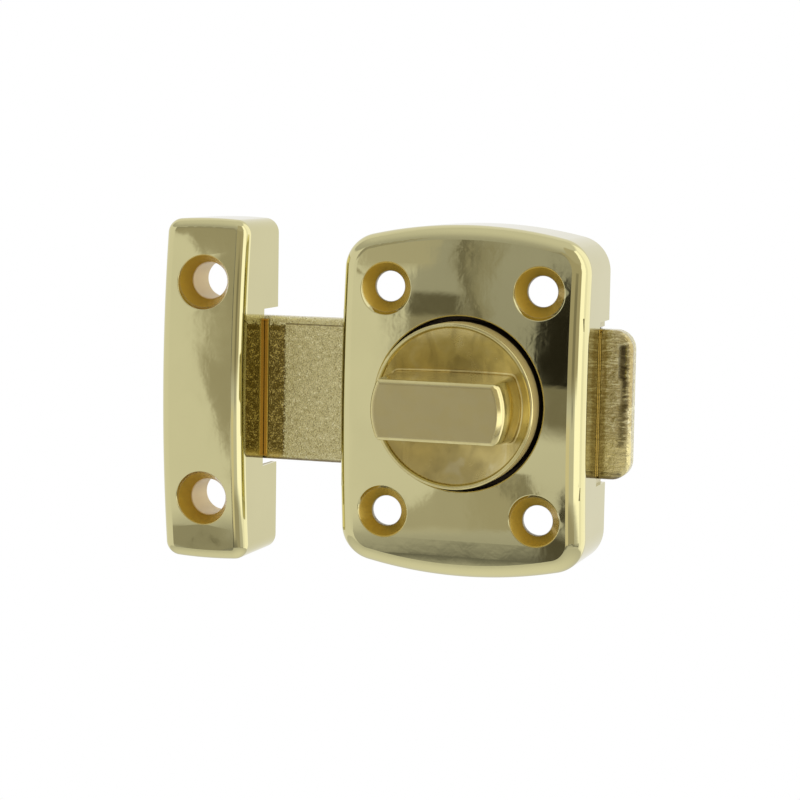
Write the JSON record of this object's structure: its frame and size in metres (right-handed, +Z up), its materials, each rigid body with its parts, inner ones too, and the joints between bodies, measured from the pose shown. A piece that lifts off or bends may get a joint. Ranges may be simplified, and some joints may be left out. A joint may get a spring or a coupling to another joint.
{
  "type": "surface turn bolt latch with strike",
  "caption": "Surface-mounted door latch: a hollow crowned case with a turn knob that drives a flat bolt through a rack and pinion into a separate strike.",
  "frame": {"origin": "where the knob's axis meets the mounting plane, on the outer face of the back plate", "axes": "+Y into the door, so the knob stands out towards -Y; +X from the strike to the case; +Z up"},
  "size_m": [0.0818, 0.0305, 0.06],
  "materials": {
    "polished_plating": "bright polished brass plating on a die casting",
    "knob_plating": "brass plating, polished rim, satin grip top and softly blasted floor",
    "bolt_plating": "brass plating over a rough as-cast surface",
    "spring_steel": "blued spring steel",
    "zinc_steel": "zinc plated pressed steel",
    "bush_brass": "turned brass",
    "gear_steel": "sintered steel",
    "fastener_steel": "zinc plated steel"
  },
  "bodies": {
    "housing": {"case": "polished_plating", "strike": "polished_plating", "wave_washer": "spring_steel", "bearing_plate": "zinc_steel", "knob_bush": "bush_brass", "stop_pin": "fastener_steel", "standoffs": "fastener_steel", "back_plate": "zinc_steel", "back_plate_screws": "fastener_steel", "leaf_spring": "spring_steel", "leaf_spring_rivets": "fastener_steel"},
    "turn_knob": {"knob": "knob_plating", "pinion": "gear_steel", "retaining_clip": "spring_steel"},
    "sliding_bolt": {"bolt": "bolt_plating", "rack": "gear_steel", "rack_rivets": "fastener_steel"}
  },
  "joints": [
    {"name": "bolt_slide", "type": "slide", "parent": "housing", "child": "sliding_bolt", "axis": [1, 0, 0], "range_m": [0, 0.01696]},
    {"name": "knob_turn", "type": "hinge", "parent": "housing", "child": "turn_knob", "pos_m": [0, 0, 0], "axis": [0, 1, 0], "range_deg": [0, 180]}
  ],
  "couplings": [
    {"joint": "knob_turn", "follows": "bolt_slide", "rad_per_m": 185.19}
  ]
}
